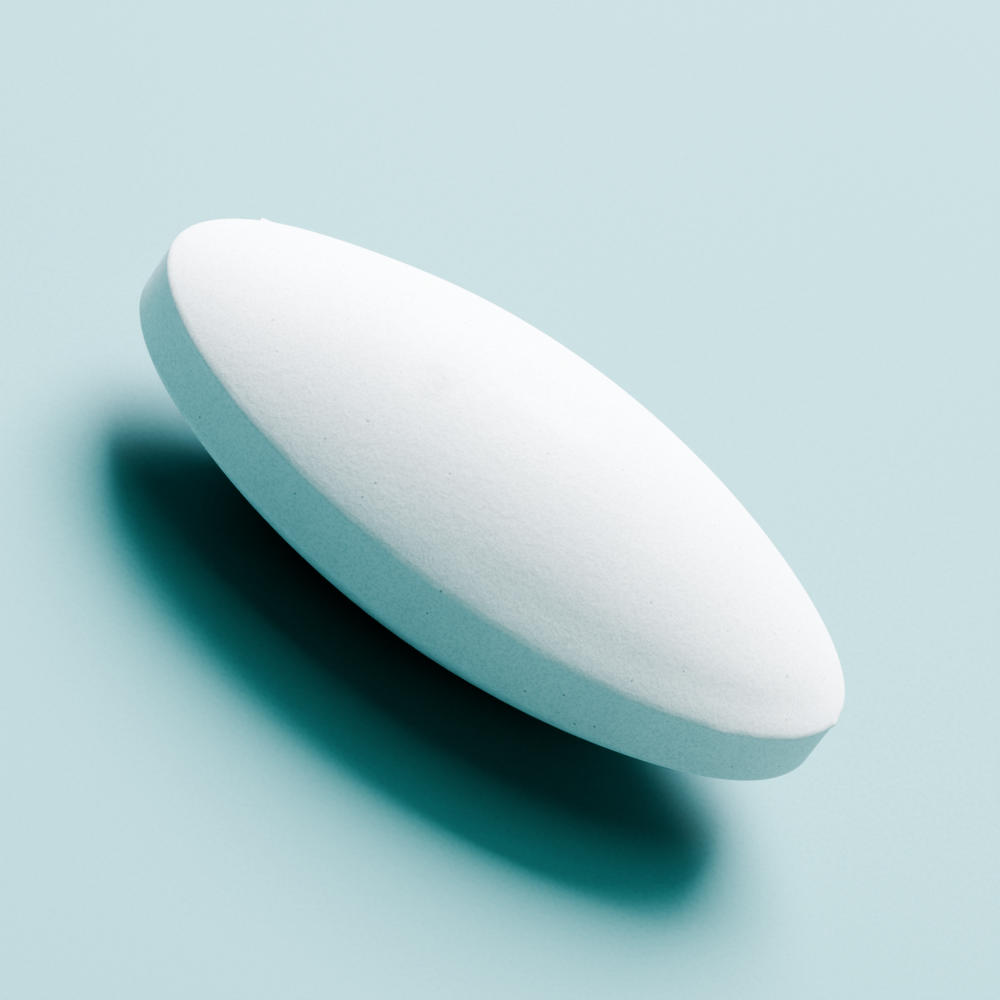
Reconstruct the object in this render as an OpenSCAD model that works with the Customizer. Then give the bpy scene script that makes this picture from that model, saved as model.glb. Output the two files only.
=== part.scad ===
// Oval magnetic stir bar: a fluoropolymer jacket moulded round a bar magnet.
// X runs along the bar, Y across it and Z up. The origin is the point that it
// stands and spins on, under the middle of the lower crown.

/* [Outline] */
// Overall length of the bar
bar_l = 32; // [26:0.5:60]
// Overall width of the bar
bar_w = 16; // [13:0.5:26]
// Power of the oval's outline, where 2 is an ellipse
oval_power = 1.94; // [1.8:0.02:2.4]

/* [Band] */
// Height of the upright band round the middle
band_h = 2.75; // [1.5:0.05:6]
// Draft of the band's wall, in degrees, narrowing downwards
band_draft = 3.5; // [0:0.5:8]
// Radius that softens the band's upper and lower edges
edge_r = 0.3; // [0.1:0.05:0.5]

/* [Crowns] */
// Rise of each crown above the band
crown_rise = 4.5; // [3.6:0.1:8]
// Power of the crown's curve: 1 is a parabola and 0.5 an ellipse
crown_power = 0.9; // [0.6:0.02:1.1]
// Share of each crown's half width that is flat at its pole, where it stands
pole_flat = 0.16; // [0.1:0.01:0.2]
// Distance in from the rim of the faint hollow that runs round each crown
hollow_inset = 1.7; // [1:0.1:2.5]
// Depth of that hollow
hollow_depth = 0.1; // [0:0.02:0.3]

/* [Magnet] */
// Diameter of the bar magnet
magnet_d = 7; // [4:0.5:8]
// Length of the bar magnet
magnet_l = 20; // [12:0.5:22]
// Chamfer round each end of the magnet
magnet_chamfer = 0.5; // [0.2:0.1:1]
// Clearance between the magnet and its pocket, all round
magnet_clearance = 0.02; // [0.01:0.01:0.1]

/* [Hidden] */
$fn = 96;

// Corners round the oval, and steps up a crown and round an edge
oval_steps = 64;
crown_steps = 14;
edge_steps = 3;
// Half width of the faint hollow
hollow_reach = 0.6;
// Angle of the crown's flank where it meets the rim
flank_angle = 47;

// The band's lower edge is set in by its draft
draft_in = band_h * tan(band_draft);

// Height of the whole bar, and of the middle of its band
bar_h = band_h + 2 * crown_rise;
mid_z = bar_h / 2;

// Height of a crown above its rim at share q of its half width
function crown_z(q) = crown_rise * pow((1 - q * q) / (1 - pole_flat * pole_flat), crown_power);

// Share of the half width at step i of a crown. The steps are short near the
// pole, so that the bar rocks back level instead of resting on a facet.
pole_angle = asin(pole_flat);
function step_share(i) = sin(pole_angle * pow(90 / pole_angle, i / crown_steps));

// The outline's power fades to a true ellipse towards the pole
function power_at(q) = 2 - (2 - oval_power) * q * q;

// Distance from the centre to the outline's tangent at corner angle a
function tangent_reach(rx, ry, a) =
    let(p = 2 - 2 / oval_power)
    1 / norm([pow(abs(cos(a)), p) / rx, pow(abs(sin(a)), p) / ry]);

// Depth of the faint hollow at distance t in from the rim
function hollow_at(t) = hollow_depth * exp(-pow((t - hollow_inset) / hollow_reach, 2));

// Rings of one crown from the pole outwards, then round its edge, each as
// [share of the half width, distance in from the rim, height above the rim]
edge_turn = 90 - flank_angle;
edge_drop = edge_r * tan(edge_turn / 2);
crown_rings = concat(
    [for (i = [0:crown_steps - 1]) [step_share(i), 0, crown_z(step_share(i))]],
    [for (i = [0:edge_steps])
        let(a = edge_turn * (1 - i / edge_steps))
        [1, edge_r * (1 - cos(a)), edge_r * sin(a) - edge_drop]]
);

// Corner number k of a ring on an outline with half axes rx and ry
function ring_corner(ring, k, rx, ry) =
    let(
        a = 360 * k / oval_steps,
        q = ring[0],
        back = ring[1],
        p = 2 / power_at(q),
        inset = back + (1 - q) * tangent_reach(rx, ry, a)
    )
    [
        (rx * q - back) * sign(cos(a)) * pow(abs(cos(a)), p),
        (ry * q - back) * sign(sin(a)) * pow(abs(sin(a)), p),
        band_h / 2 + ring[2] - hollow_at(inset)
    ];

// Outer skin of the jacket, centred on the middle of the band
module jacket_skin() {
    count = len(crown_rings);
    low_x = bar_l / 2 - draft_in;
    low_y = bar_w / 2 - draft_in;
    low_points = [for (j = [0:count - 1], k = [0:oval_steps - 1])
        let(p = ring_corner(crown_rings[j], k, low_x, low_y)) [p[0], p[1], -p[2]]];
    high_points = [for (j = [count - 1:-1:0], k = [0:oval_steps - 1])
        ring_corner(crown_rings[j], k, bar_l / 2, bar_w / 2)];
    last = 2 * count - 1;
    function at(j, k) = j * oval_steps + k % oval_steps;
    polyhedron(
        points = concat(low_points, high_points),
        faces = concat(
            [[for (k = [0:oval_steps - 1]) at(0, k)]],
            [for (j = [0:last - 1], k = [0:oval_steps - 1])
                each [
                    [at(j, k), at(j + 1, k), at(j + 1, k + 1)],
                    [at(j, k), at(j + 1, k + 1), at(j, k + 1)]
                ]],
            [[for (k = [oval_steps - 1:-1:0]) at(last, k)]]
        )
    );
}

// Rod along X with chamfered ends
module rod(d, l, chamfer) {
    rotate([0, 90, 0])
        rotate_extrude()
            polygon([
                [0, -l / 2],
                [d / 2 - chamfer, -l / 2],
                [d / 2, -l / 2 + chamfer],
                [d / 2, l / 2 - chamfer],
                [d / 2 - chamfer, l / 2],
                [0, l / 2]
            ]);
}

module ptfe_jacket() {
    color("white")
        translate([0, 0, mid_z])
            difference() {
                jacket_skin();
                rod(
                    magnet_d + 2 * magnet_clearance,
                    magnet_l + 2 * magnet_clearance,
                    magnet_chamfer
                );
            }
}

module bar_magnet() {
    color("dimgray")
        translate([0, 0, mid_z])
            rod(magnet_d, magnet_l, magnet_chamfer);
}

ptfe_jacket();
bar_magnet();
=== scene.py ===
"""Looks for the oval stir bar: a fine jacket skin, its plastic, the magnet's metal, floor and light.

Metres, in the CAD frame: X along the bar, Y across it, Z up, the origin under the lower pole.
"""
import math

import bmesh
import bpy
from mathutils import Matrix, Vector, noise


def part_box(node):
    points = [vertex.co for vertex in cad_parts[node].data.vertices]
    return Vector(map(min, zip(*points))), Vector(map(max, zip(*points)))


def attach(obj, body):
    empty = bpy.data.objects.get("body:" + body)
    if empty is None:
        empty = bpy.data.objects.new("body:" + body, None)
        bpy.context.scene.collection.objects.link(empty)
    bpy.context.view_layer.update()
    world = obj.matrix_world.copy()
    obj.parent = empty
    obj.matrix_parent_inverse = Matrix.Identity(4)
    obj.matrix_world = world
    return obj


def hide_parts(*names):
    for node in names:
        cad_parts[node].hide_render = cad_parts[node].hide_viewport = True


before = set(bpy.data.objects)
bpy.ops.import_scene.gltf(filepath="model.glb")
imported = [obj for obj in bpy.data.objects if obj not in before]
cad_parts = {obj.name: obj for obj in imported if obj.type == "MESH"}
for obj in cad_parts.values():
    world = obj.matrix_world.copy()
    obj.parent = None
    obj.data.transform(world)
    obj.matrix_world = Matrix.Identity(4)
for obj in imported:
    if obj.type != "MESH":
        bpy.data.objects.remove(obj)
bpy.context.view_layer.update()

MM = 0.001

# The jacket's box, and the sizes of its form, all in mm
low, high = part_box("ptfe_jacket")
HALF_L = (high.x - low.x) / 2 / MM
HALF_W = (high.y - low.y) / 2 / MM
TOTAL_H = (high.z - low.z) / MM
MID_Z = (high.z + low.z) / 2 / MM
BAND_H = 2.75
RISE = (TOTAL_H - BAND_H) / 2
CROWN_POWER = 0.9
POLE_FLAT = 0.16
POLE_BLEND = 0.03
OVAL_POWER = 1.93
DRAFT_IN = BAND_H * math.tan(math.radians(3.3))
END_DRAFT = 1.0

# The rim of the upper crown: how far it stays inside the box, its soft edge and its flash
RIM_MARGIN = 0.08
EDGE_R = 0.15
FLASH_H = 0.04

# How far the moulded surface wanders, slowly and finely
SLOW_WAVE = 0.02
FINE_WAVE = 0.006

# Corners round the oval, and rings up a crown, round an edge and down the band
ROUND = 400
CROWN_RINGS = 64
EDGE_RINGS = 8
WALL_RINGS = 10

# Nibs of flash left on the upper rim: angle round the oval in degrees, reach and width in mm
NIBS = [(149.0, 0.26, 0.17), (-3.0, 0.075, 0.22), (-38.0, 0.04, 0.5)]

# The faint hollow inside the near rim of the upper crown, its middle measured in from the rim
SHOULDER_DEPTH = 0.055
SHOULDER_INSET = 0.95
SHOULDER_REACH = 0.65

# The left of the upper crown is a little low on its far side
SAG_DEPTH = 0.2
SAG_PLACE = -11.5
SAG_REACH = 5.0

# The sealed pocket round the magnet: clearance and chamfer in mm, and corners round it
POCKET_CLEAR = 0.02
POCKET_CHAMFER = 0.5
POCKET_ROUND = 64

# Specks in the plastic: x and y in mm on the upper crown, radius in mm
SPECKS = [
    (13.3, -1.5, 0.09),
    (14.6, 0.4, 0.07),
    (8.9, 0.9, 0.06),
    (-4.2, -2.2, 0.06),
    (6.3, -5.2, 0.06),
]

# The floor's card: its lighter and darker patches, and its tooth
CARD_LIGHT = (0.14, 0.34, 0.34, 1)
CARD_DARK = (0.13, 0.325, 0.325, 1)
CARD_TOOTH = (0.11, 0.29, 0.29, 1)

# The camera: how far it looks down and is turned, how far away it stands, and its lens in mm
VIEW_DOWN = math.radians(40)
VIEW_ROLL = math.radians(36)
VIEW_DISTANCE = 0.32
VIEW_LENS = 295.2

# Every lamp's distance from the bar, in metres
LAMP_DISTANCE = 0.5


def wave(x, y, z, scale, seed):
    """Smooth noise between about -1 and 1, with features of the given size in mm."""
    return noise.noise(Vector((x, y, z + 37.0 * seed)) / scale)


def bump(t):
    """A bell that is 1 at 0 and has nearly gone at 2."""
    return math.exp(-t * t)


def ease(t):
    """0 below 0, 1 above 1, smooth between."""
    t = min(1.0, max(0.0, t))
    return t * t * (3 - 2 * t)


def crown_z(q):
    """Height of a crown above its rim at share q of its half width."""
    full = RISE * ((1 - q * q) / (1 - POLE_FLAT**2)) ** CROWN_POWER
    over = full - RISE
    return RISE + 0.5 * (over - math.hypot(over, POLE_BLEND))


def oval(angle, q):
    """Point of the unit outline at that angle, fading to an ellipse at the pole."""
    power = 2 / (2 - (2 - OVAL_POWER) * q * q)
    c, s = math.cos(angle), math.sin(angle)
    return math.copysign(abs(c) ** power, c), math.copysign(abs(s) ** power, s)


def rim_inset(angle, q):
    """Distance in mm from a point at share q to the rim, measured square to the rim."""
    power = 2 - 2 / OVAL_POWER
    across = abs(math.cos(angle)) ** power / HALF_L
    along = abs(math.sin(angle)) ** power / HALF_W
    return (1 - q) / math.hypot(across, along)


def shoulder(angle, q, x, y):
    """Depth in mm of the faint hollow inside the near rim of the upper crown."""
    near = ease((-y / HALF_W + 0.15) / 0.5)
    start = ease((x / HALF_L + 0.15) / 0.4)
    centre = SHOULDER_INSET + 0.15 * wave(x, y, 0, 6, 1)
    from_centre = (rim_inset(angle, q) - centre) / SHOULDER_REACH
    return SHOULDER_DEPTH * near * start * bump(from_centre)


def sag(x, y, q):
    """Depth in mm by which the left of the upper crown has sunk."""
    far = ease((y / HALF_W + 0.5) / 0.8)
    return SAG_DEPTH * far * bump((x - SAG_PLACE) / SAG_REACH) * (1 - q**10)


def skin_rings():
    """Rings of one half of the jacket, from its pole to the middle of the band.

    Each is (part, share): up the crown, round the rim's soft edge, or down the band.
    """
    rings = [("crown", math.sin(math.pi / 2 * i / CROWN_RINGS)) for i in range(1, CROWN_RINGS)]
    rings += [("edge", i / EDGE_RINGS) for i in range(EDGE_RINGS + 1)]
    rings += [("band", i / WALL_RINGS) for i in range(1, WALL_RINGS + 1)]
    return rings


def skin_point(side, ring, k):
    """A point of the jacket's skin in metres. side is 1 for the upper half, -1 for the lower."""
    part, share = ring
    angle = 2 * math.pi * k / ROUND
    # the soft edge starts EDGE_R in from the rim, and ends EDGE_R down the band
    edge_q = 1 - EDGE_R / rim_inset(angle, 0)
    if part == "crown":
        q = edge_q * share
        height = crown_z(q)
    elif part == "edge":
        q = 1 - (1 - edge_q) * (1 - share) ** 2
        height = crown_z(edge_q) * (1 - share) ** 2 - EDGE_R * share**2
    else:
        q = 1.0
        height = -EDGE_R - share * (BAND_H / 2 - EDGE_R)
    ox, oy = oval(angle, q)
    x = HALF_L * q * ox
    y = HALF_W * q * oy
    z = side * (BAND_H / 2 + height)
    level = 0.5 + min(BAND_H, max(-BAND_H, 2 * z)) / BAND_H / 2
    # the draft fades out towards the two ends
    draft = DRAFT_IN * (1 - level) * q * (1 - END_DRAFT * abs(ox) ** 3)
    # a moulded surface is never quite true
    slow = wave(x, y, z, 7.0, 2) * SLOW_WAVE
    fine = wave(x, y, z, 1.6, 3) * FINE_WAVE
    inward = draft + (RIM_MARGIN + fine) * q
    lift = 0.0
    if side > 0:
        lift -= shoulder(angle, q, x, y) + sag(x, y, q)
        # thin flash squeezed out along the parting line, uneven round the rim
        at_rim = bump((height + 0.06) / 0.14) * (q > 0.9)
        flash = FLASH_H * (0.5 + 0.5 * wave(x, y, 0, 1.3, 5)) * at_rim
        for nib_angle, reach, width in NIBS:
            nx, ny = oval(math.radians(nib_angle), 1)
            gap = math.hypot(x - HALF_L * nx, y - HALF_W * ny)
            flash += reach * bump(gap / width) * at_rim
        inward -= flash
    x -= inward * ox
    y -= inward * oy
    z -= side * (0.01 + SLOW_WAVE / 2 + slow / 2) * (1 - q**8)
    return Vector((x, y, MID_Z + z + lift)) * MM


def pocket(mesh):
    """The sealed pocket that the magnet lies in: a chamfered rod, facing inwards."""
    p_low, p_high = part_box("bar_magnet")
    clear = POCKET_CLEAR * MM
    half = (p_high.x - p_low.x) / 2 + clear
    radius = (p_high.z - p_low.z) / 2 + clear
    mid = (p_high + p_low) / 2
    chamfer = POCKET_CHAMFER * MM
    count = POCKET_ROUND
    loops = []
    for x, r in ((-half, radius - chamfer), (-half + chamfer, radius),
                 (half - chamfer, radius), (half, radius - chamfer)):
        loop = []
        for k in range(count):
            a = 2 * math.pi * k / count
            point = (mid.x + x, mid.y + r * math.cos(a), mid.z + r * math.sin(a))
            loop.append(mesh.verts.new(point))
        loops.append(loop)
    mesh.faces.new(loops[0])
    mesh.faces.new(loops[-1][::-1])
    for first, second in zip(loops, loops[1:]):
        for k in range(count):
            n = (k + 1) % count
            mesh.faces.new((first[k], second[k], second[n], first[n]))


def make_jacket():
    """The jacket as one closed skin round its pocket."""
    mesh = bmesh.new()
    rings = skin_rings()
    halves = [(1, ring) for ring in rings] + [(-1, ring) for ring in rings[-2::-1]]
    loops = [
        [mesh.verts.new(skin_point(side, ring, k)) for k in range(ROUND)]
        for side, ring in halves
    ]
    top = mesh.verts.new(Vector((0, 0, sum(v.co.z for v in loops[0]) / ROUND)))
    bottom = mesh.verts.new(Vector((0, 0, sum(v.co.z for v in loops[-1]) / ROUND)))
    for k in range(ROUND):
        n = (k + 1) % ROUND
        mesh.faces.new((top, loops[0][k], loops[0][n]))
        mesh.faces.new((bottom, loops[-1][n], loops[-1][k]))
    for first, second in zip(loops, loops[1:]):
        for k in range(ROUND):
            n = (k + 1) % ROUND
            mesh.faces.new((first[k], second[k], second[n], first[n]))
    outer = list(mesh.faces)
    bmesh.ops.recalc_face_normals(mesh, faces=outer)
    pocket(mesh)
    data = bpy.data.meshes.new("jacket_skin")
    mesh.to_mesh(data)
    mesh.free()
    for face in data.polygons:
        face.use_smooth = True
    piece = bpy.data.objects.new("jacket_skin", data)
    bpy.context.collection.objects.link(piece)
    return piece


class Nodes:
    """Short calls that add shader nodes to one material."""

    def __init__(self, name):
        self.material = bpy.data.materials.new(name)
        self.material.use_nodes = True
        self.tree = self.material.node_tree
        self.shader = self.tree.nodes["Principled BSDF"]
        self.place = self.tree.nodes.new("ShaderNodeTexCoord").outputs["Object"]

    def link(self, source, target):
        """Joins an output socket to an input socket."""
        self.tree.links.new(source, target)

    def add(self, kind, **inputs):
        """A new node, with sockets set by name to a number or another node's output."""
        node = self.tree.nodes.new(kind)
        for key, value in inputs.items():
            socket = node.inputs[key]
            if hasattr(value, "links"):
                self.link(value, socket)
            else:
                socket.default_value = value
        return node

    def math(self, operation, a, b):
        """Arithmetic on two values."""
        node = self.tree.nodes.new("ShaderNodeMath")
        node.operation = operation
        for socket, value in zip(node.inputs, (a, b)):
            if hasattr(value, "links"):
                self.link(value, socket)
            else:
                socket.default_value = value
        return node.outputs[0]

    def noise(self, scale, detail, roughness, place=None):
        """Smooth noise over the object's own coordinates, in features per metre."""
        node = self.add("ShaderNodeTexNoise", Scale=scale, Detail=detail, Roughness=roughness)
        self.link(place or self.place, node.inputs["Vector"])
        return node.outputs["Fac"]

    def span(self, value, low_in, high_in, low_out=0.0, high_out=1.0):
        """Eases a value from one range to another."""
        node = self.tree.nodes.new("ShaderNodeMapRange")
        node.interpolation_type = "SMOOTHSTEP"
        self.link(value, node.inputs["Value"])
        for key, number in (("From Min", low_in), ("From Max", high_in),
                            ("To Min", low_out), ("To Max", high_out)):
            node.inputs[key].default_value = number
        return node.outputs["Result"]

    def blend(self, share, first, second):
        """Mixes two colours."""
        node = self.tree.nodes.new("ShaderNodeMix")
        node.data_type = "RGBA"
        for index, value in ((0, share), (6, first), (7, second)):
            if hasattr(value, "links"):
                self.link(value, node.inputs[index])
            else:
                node.inputs[index].default_value = value
        return node.outputs[2]

    def spot(self, point, radius, soft):
        """1 inside a small round spot on the surface, 0 outside."""
        node = self.tree.nodes.new("ShaderNodeVectorMath")
        node.operation = "DISTANCE"
        self.link(self.place, node.inputs[0])
        node.inputs[1].default_value = point
        return self.span(node.outputs["Value"], radius - soft, radius + soft, 1.0, 0.0)


def crown_place(x, y):
    """The point of the upper crown over x, y in mm, in metres."""
    q = math.hypot(x / HALF_L, y / HALF_W)
    return Vector((x, y, MID_Z + BAND_H / 2 + crown_z(min(q, 0.99)))) * MM


def ptfe():
    """Moulded and sintered PTFE: milky white, waxy, with a fine grain and a few dark specks."""
    n = Nodes("moulded_ptfe")
    cloud = n.noise(220, 3, 0.55)
    fleck = n.noise(2600, 3, 0.6)
    grain = n.noise(9000, 2, 0.6)
    white = (0.905, 0.905, 0.9, 1)
    milky = (0.865, 0.868, 0.872, 1)
    colour = n.blend(n.span(cloud, 0.35, 0.68), white, milky)
    colour = n.blend(n.span(fleck, 0.42, 0.75, 0, 0.3), colour, (0.80, 0.805, 0.81, 1))
    colour = n.blend(n.span(grain, 0.42, 0.68, 0, 0.8), colour, (0.72, 0.73, 0.74, 1))
    # specks of dark dust moulded in all over
    cells = n.add("ShaderNodeTexVoronoi", Scale=1300.0, Randomness=1.0)
    n.link(n.place, cells.inputs["Vector"])
    pick = n.add("ShaderNodeSeparateColor", Color=cells.outputs["Color"])
    chosen = n.math("GREATER_THAN", pick.outputs["Red"], 0.4)
    small = n.span(cells.outputs["Distance"], 0.035, 0.085, 1.0, 0.0)
    dust = n.math("MULTIPLY", chosen, small)
    for x, y, radius in SPECKS:
        dust = n.math("MAXIMUM", dust, n.spot(crown_place(x, y), radius * MM, 0.03 * MM))
    colour = n.blend(n.math("MULTIPLY", dust, 0.55), colour, (0.13, 0.13, 0.12, 1))
    # a faint grey patch left of the pole, on its near side
    grey_patch = n.spot(crown_place(-4.45, -2.45), 0.65 * MM, 0.6 * MM)
    grey_patch = n.math("MULTIPLY", grey_patch, n.span(n.noise(1500, 3, 0.6), 0.3, 0.6, 0.2, 1.0))
    colour = n.blend(n.math("MULTIPLY", grey_patch, 0.4), colour, (0.45, 0.46, 0.48, 1))
    n.link(colour, n.shader.inputs["Base Color"])
    rough = n.math("ADD", n.span(fleck, 0.3, 0.7, 0.5, 0.6), n.span(cloud, 0.3, 0.7, -0.03, 0.04))
    n.link(rough, n.shader.inputs["Roughness"])
    n.shader.inputs["IOR"].default_value = 1.35
    n.shader.inputs["Subsurface Weight"].default_value = 0.12
    n.shader.inputs["Subsurface Radius"].default_value = (1.0, 0.95, 0.9)
    n.shader.inputs["Subsurface Scale"].default_value = 0.0006
    height = n.math("ADD", n.math("MULTIPLY", fleck, 1.0), n.math("MULTIPLY", grain, 0.45))
    relief = n.add("ShaderNodeBump", Strength=0.6, Distance=0.00003, Height=height)
    n.link(relief.outputs["Normal"], n.shader.inputs["Normal"])
    return n.material


def ground_alnico():
    """A cast AlNiCo rod, centreless ground: fine rings of grinding, with small casting pits."""
    n = Nodes("ground_alnico")
    stretched = n.add("ShaderNodeMapping", Scale=(1.0, 0.04, 0.04))
    n.link(n.place, stretched.inputs["Vector"])
    rings = n.noise(9000, 3, 0.6, stretched.outputs["Vector"])
    patch = n.noise(450, 3, 0.6)
    colour = n.blend(n.span(patch, 0.3, 0.7), (0.33, 0.33, 0.34, 1), (0.42, 0.41, 0.41, 1))
    colour = n.blend(n.span(rings, 0.4, 0.7, 0, 0.5), colour, (0.5, 0.5, 0.51, 1))
    cells = n.add("ShaderNodeTexVoronoi", Scale=1400.0)
    n.link(n.place, cells.inputs["Vector"])
    pits = n.span(cells.outputs["Distance"], 0.05, 0.14, 1.0, 0.0)
    colour = n.blend(n.math("MULTIPLY", pits, 0.7), colour, (0.1, 0.1, 0.1, 1))
    n.link(colour, n.shader.inputs["Base Color"])
    n.shader.inputs["Metallic"].default_value = 1.0
    n.link(n.span(rings, 0.3, 0.7, 0.28, 0.46), n.shader.inputs["Roughness"])
    height = n.math("SUBTRACT", n.math("MULTIPLY", rings, 0.5), pits)
    relief = n.add("ShaderNodeBump", Strength=0.3, Distance=0.00004, Height=height)
    n.link(relief.outputs["Normal"], n.shader.inputs["Normal"])
    return n.material


def pale_card():
    """The pale card that the bar stands on, with a fine tooth."""
    n = Nodes("pale_card")
    tooth = n.noise(4500, 3, 0.65)
    cloud = n.noise(18, 2, 0.5)
    colour = n.blend(n.span(cloud, 0.3, 0.7), CARD_LIGHT, CARD_DARK)
    colour = n.blend(n.span(tooth, 0.4, 0.7, 0, 0.5), colour, CARD_TOOTH)
    n.link(colour, n.shader.inputs["Base Color"])
    n.shader.inputs["Roughness"].default_value = 0.75
    relief = n.add("ShaderNodeBump", Strength=0.15, Distance=0.00005, Height=tooth)
    n.link(relief.outputs["Normal"], n.shader.inputs["Normal"])
    return n.material


def make_floor(material):
    """A wide plain floor, level with the pole that the bar stands on."""
    reach = 1.5
    mesh = bmesh.new()
    corners = [(-reach, -reach), (reach, -reach), (reach, reach), (-reach, reach)]
    mesh.faces.new([mesh.verts.new((x, y, low.z)) for x, y in corners])
    data = bpy.data.meshes.new("floor")
    mesh.to_mesh(data)
    mesh.free()
    data.materials.append(material)
    floor = bpy.data.objects.new("floor", data)
    bpy.context.collection.objects.link(floor)


def make_camera():
    """Looks down 40 degrees at the bar's long side, turned so that the bar lies aslant."""
    right = Vector((1, 0, 0))
    up = Vector((0, math.sin(VIEW_DOWN), math.cos(VIEW_DOWN)))
    back = Vector((0, -math.cos(VIEW_DOWN), math.sin(VIEW_DOWN)))
    across = right * math.cos(VIEW_ROLL) + up * math.sin(VIEW_ROLL)
    over = up * math.cos(VIEW_ROLL) - right * math.sin(VIEW_ROLL)
    turn = Matrix((across, over, back)).transposed().to_4x4()
    data = bpy.data.cameras.new("camera")
    data.sensor_width = 36
    data.lens = VIEW_LENS
    data.clip_start = 0.01
    data.clip_end = 10
    camera = bpy.data.objects.new("camera", data)
    # the bar's middle lies just off the middle of the picture
    aim = right * 0.000276 + up * 0.000148
    centre = Vector((0, 0, MID_Z * MM))
    turn.translation = centre + back * VIEW_DISTANCE + aim
    camera.matrix_world = turn
    bpy.context.collection.objects.link(camera)
    bpy.context.scene.camera = camera


def soft_light(name, elevation, azimuth, size, power, colour):
    """A square soft light aimed at the bar. Azimuth 0 is behind it and 90 is to its right."""
    e, a = math.radians(elevation), math.radians(azimuth)
    way = Vector((math.sin(a) * math.cos(e), math.cos(a) * math.cos(e), math.sin(e)))
    data = bpy.data.lights.new(name, "AREA")
    data.shape = "SQUARE"
    data.size = size
    data.energy = power
    data.color = colour
    lamp = bpy.data.objects.new(name, data)
    lamp.location = way * LAMP_DISTANCE
    lamp.rotation_mode = "QUATERNION"
    lamp.rotation_quaternion = way.to_track_quat("Z", "Y")
    bpy.context.collection.objects.link(lamp)


def make_sky():
    """A dim, greenish fill from all round."""
    world = bpy.data.worlds.new("studio")
    world.use_nodes = True
    ground = world.node_tree.nodes["Background"]
    ground.inputs["Color"].default_value = (0.3, 0.9, 0.68, 1)
    ground.inputs["Strength"].default_value = 0.035
    bpy.context.scene.world = world


make_camera()

jacket = make_jacket()
jacket.data.materials.append(ptfe())
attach(jacket, "root")
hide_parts("ptfe_jacket")

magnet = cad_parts["bar_magnet"]
magnet_metal = ground_alnico()
magnet.data.materials.clear()
magnet.data.materials.append(magnet_metal)

make_floor(pale_card())
make_sky()
soft_light("key", 49, -15, 0.34, 8.5, (1.0, 0.955, 1.04))
soft_light("top", 84, 0, 0.3, 0.9, (0.45, 1.0, 1.02))
soft_light("side", 25, 105, 0.25, 0.22, (0.8, 1.0, 0.95))
bpy.context.scene.view_settings.look = "AgX - Very High Contrast"
